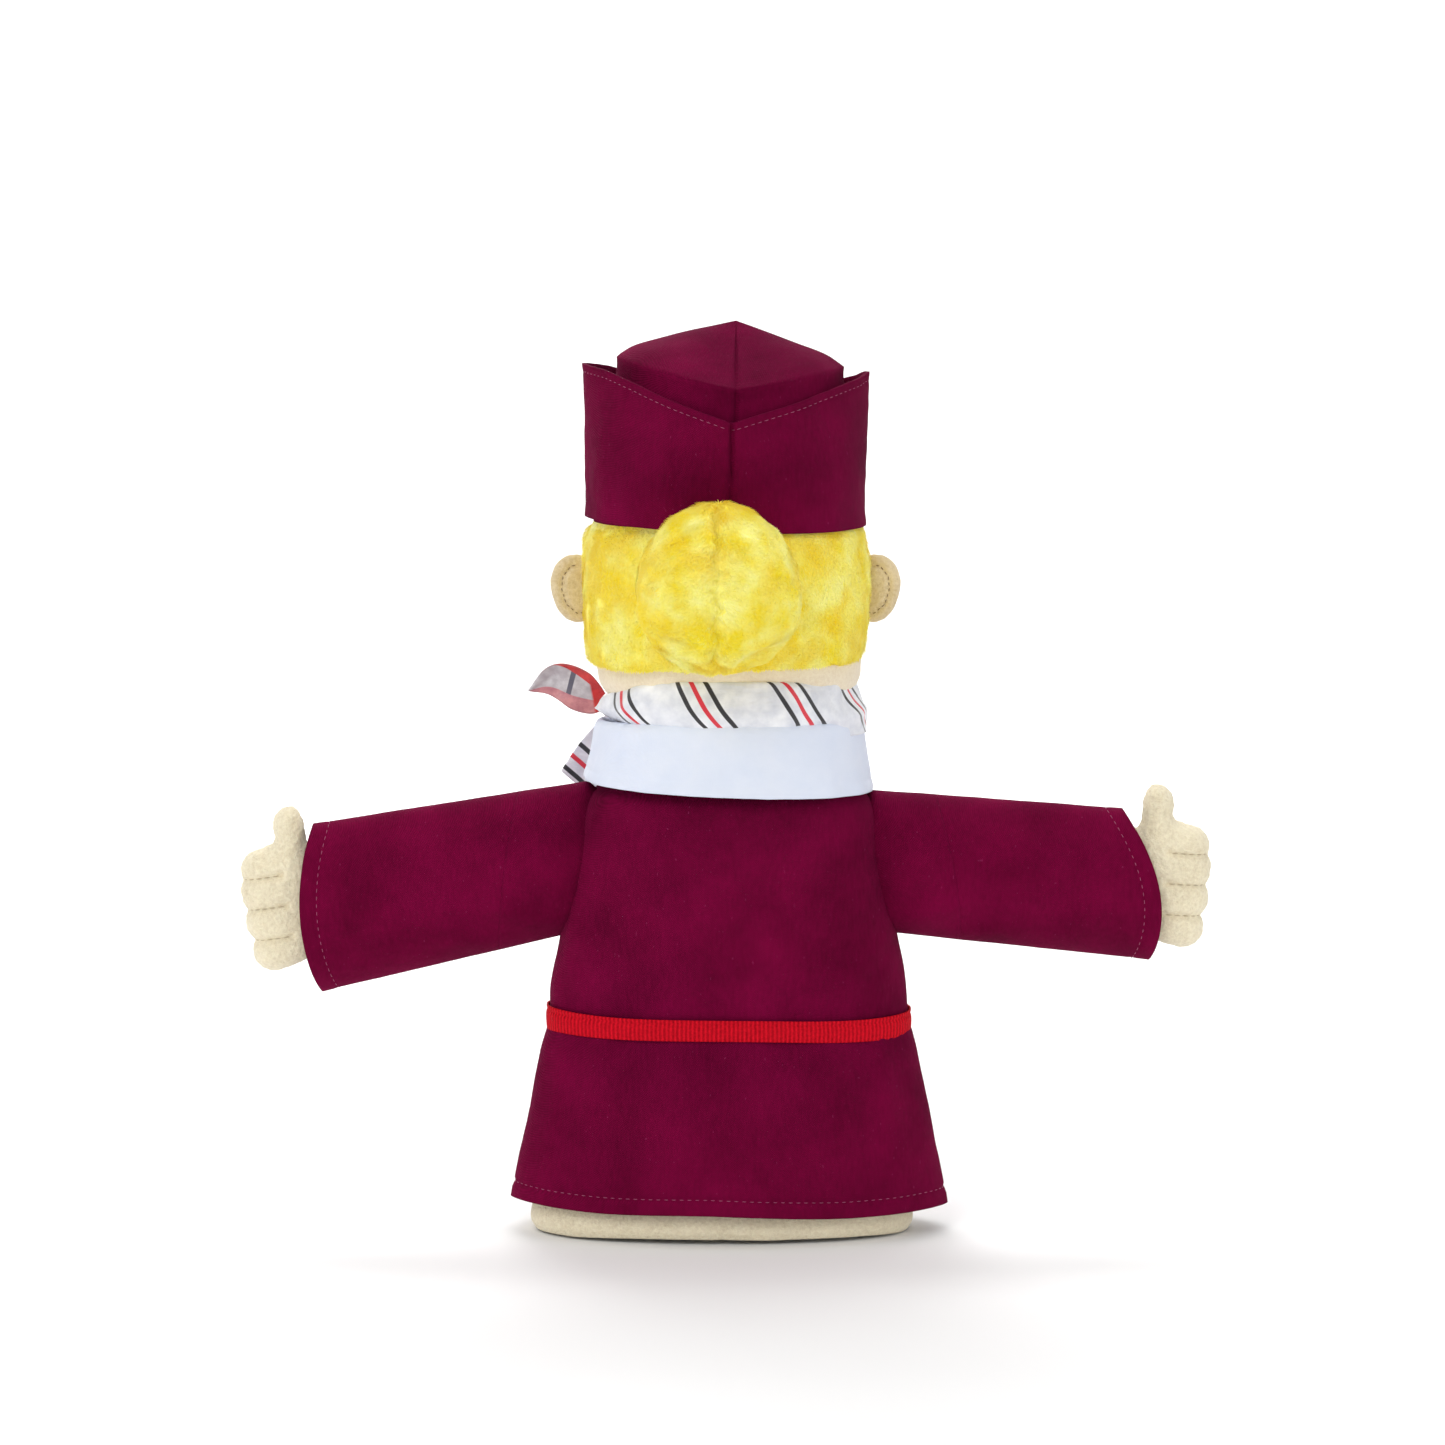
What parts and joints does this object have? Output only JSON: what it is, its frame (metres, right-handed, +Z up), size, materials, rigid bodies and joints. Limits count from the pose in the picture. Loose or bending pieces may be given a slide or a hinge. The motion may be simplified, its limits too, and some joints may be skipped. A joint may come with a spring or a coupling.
{
  "type": "glove puppet",
  "caption": "Soft glove puppet with a stuffed head, garrison cap, hair bun, neck scarf and belted jacket, worked by one hand from below.",
  "frame": {"origin": "centre of the hand opening, level with the glove's bottom hem", "axes": "+Z up towards the cap, +X towards the puppet's left hand, -Y towards the face"},
  "size_m": [0.3548, 0.137, 0.331],
  "materials": {
    "fleece": "cream fleece with a short soft nap",
    "skin_fleece": "cream fleece, slightly warmer than the glove",
    "ear_fleece": "tan fleece with a stitched rim",
    "burgundy_twill": "burgundy cotton twill, matt, pink topstitching",
    "red_ribbon": "red ribbed ribbon",
    "buckle_plastic": "smooth gold-coloured plastic",
    "shirt_cotton": "white cotton with a faint blue cast",
    "scarf_satin": "white satin with groups of black and red stripes and a red border",
    "tube_board": "brown rolled card",
    "yellow_plush": "yellow short-pile plush, mottled",
    "eye_plastic": "black polished plastic",
    "white_felt": "white felt",
    "mouth_thread": "red embroidered thread"
  },
  "bodies": {
    "lower": {"glove_lower": "fleece", "jacket_skirt": "burgundy_twill", "belt": "red_ribbon", "belt_buckle": "buckle_plastic", "jacket_button_2": "buckle_plastic", "jacket_button_3": "buckle_plastic"},
    "torso": {"glove_upper": "fleece", "jacket_bodice": "burgundy_twill", "shirt_front": "shirt_cotton", "lapel_left": "burgundy_twill", "lapel_right": "burgundy_twill", "jacket_button_1": "buckle_plastic", "shirt_collar": "shirt_cotton", "scarf_band": "scarf_satin", "scarf_knot": "scarf_satin", "scarf_front_tail": "scarf_satin"},
    "scarf_tail": {"scarf_side_tail": "scarf_satin"},
    "neck": {"neck_sleeve": "fleece"},
    "finger": {"finger_tube": "tube_board"},
    "head": {"head": "skin_fleece", "hair": "yellow_plush", "hair_fringe": "yellow_plush", "hair_bun": "yellow_plush", "ear_left": "ear_fleece", "ear_right": "ear_fleece", "nose": "skin_fleece", "eye_left": "eye_plastic", "eye_right": "eye_plastic", "eye_white_left": "white_felt", "eye_white_right": "white_felt", "mouth": "mouth_thread", "cap_crown": "burgundy_twill", "cap_turn_up": "burgundy_twill", "cap_sweatband": "shirt_cotton"},
    "upper_arm_left": {"sleeve_upper_left": "burgundy_twill", "stall_upper_left": "fleece"},
    "forearm_left": {"sleeve_lower_left": "burgundy_twill", "stall_lower_left": "fleece", "hand_left": "fleece"},
    "upper_arm_right": {"sleeve_upper_right": "burgundy_twill", "stall_upper_right": "fleece"},
    "forearm_right": {"sleeve_lower_right": "burgundy_twill", "stall_lower_right": "fleece", "hand_right": "fleece"}
  },
  "joints": [
    {"name": "waist_bow", "type": "hinge", "parent": "lower", "child": "torso", "pos_m": [0, 0, 0.079], "axis": [1, 0, 0], "range_deg": [-16, 16]},
    {"name": "head_tilt", "type": "hinge", "parent": "torso", "child": "neck", "pos_m": [0, 0, 0.203], "axis": [0, 1, 0], "range_deg": [-8, 8]},
    {"name": "head_nod", "type": "hinge", "parent": "neck", "child": "finger", "pos_m": [0, 0, 0.203], "axis": [1, 0, 0], "range_deg": [-8, 9]},
    {"name": "head_turn", "type": "hinge", "parent": "finger", "child": "head", "pos_m": [0, 0, 0.203], "axis": [0, 0, 1], "range_deg": [-35, 35]},
    {"name": "scarf_tail_swing", "type": "hinge", "parent": "torso", "child": "scarf_tail", "pos_m": [0.046, -0.02, 0.195], "axis": [0, 0, 1], "range_deg": [-25, 20]},
    {"name": "left_arm_lift", "type": "hinge", "parent": "torso", "child": "upper_arm_left", "pos_m": [0.057, 0, 0.136], "axis": [0, -1, 0], "range_deg": [-20, 27]},
    {"name": "left_arm_bend", "type": "hinge", "parent": "upper_arm_left", "child": "forearm_left", "pos_m": [0.10337, 0, 0.12832], "axis": [-0.1633, 0, -0.9866], "range_deg": [-10, 35]},
    {"name": "right_arm_lift", "type": "hinge", "parent": "torso", "child": "upper_arm_right", "pos_m": [-0.057, 0, 0.136], "axis": [0, 1, 0], "range_deg": [-20, 27]},
    {"name": "right_arm_bend", "type": "hinge", "parent": "upper_arm_right", "child": "forearm_right", "pos_m": [-0.10382, 0, 0.1319], "axis": [-0.0872, 0, 0.9962], "range_deg": [-10, 35]}
  ]
}
